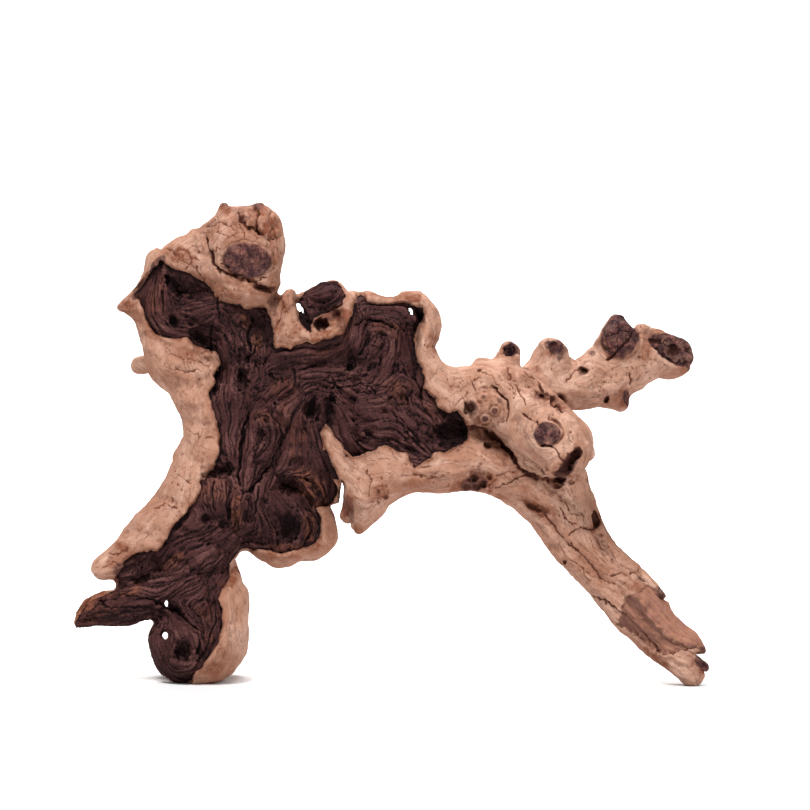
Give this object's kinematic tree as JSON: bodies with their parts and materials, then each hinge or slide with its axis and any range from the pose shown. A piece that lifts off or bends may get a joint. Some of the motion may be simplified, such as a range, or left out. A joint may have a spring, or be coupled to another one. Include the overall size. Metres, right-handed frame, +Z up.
{
  "type": "mopani root",
  "caption": "Gnarled piece of two-tone mopani driftwood, dark heartwood framed by pale sapwood, that stands on a broad foot and a long root as aquarium or terrarium decoration.",
  "frame": {"origin": "on the floor below the middle of the root, where its two feet rest", "axes": "+Z up, +X to the right as seen from the side that shows the dark heartwood, along the root's greatest length, and +Y away from that side"},
  "size_m": [0.3599, 0.101, 0.272],
  "materials": {
    "heartwood": "matt, deeply eroded dark heartwood",
    "sapwood": "matt, sandblasted pale sapwood"
  },
  "bodies": {
    "root": {"heart_crown": "heartwood", "head": "sapwood", "left_root": "heartwood", "side_spike": "heartwood", "drop_spur": "sapwood", "knuckle": "sapwood", "long_root": "sapwood", "high_branch": "sapwood"}
  },
  "joints": []
}
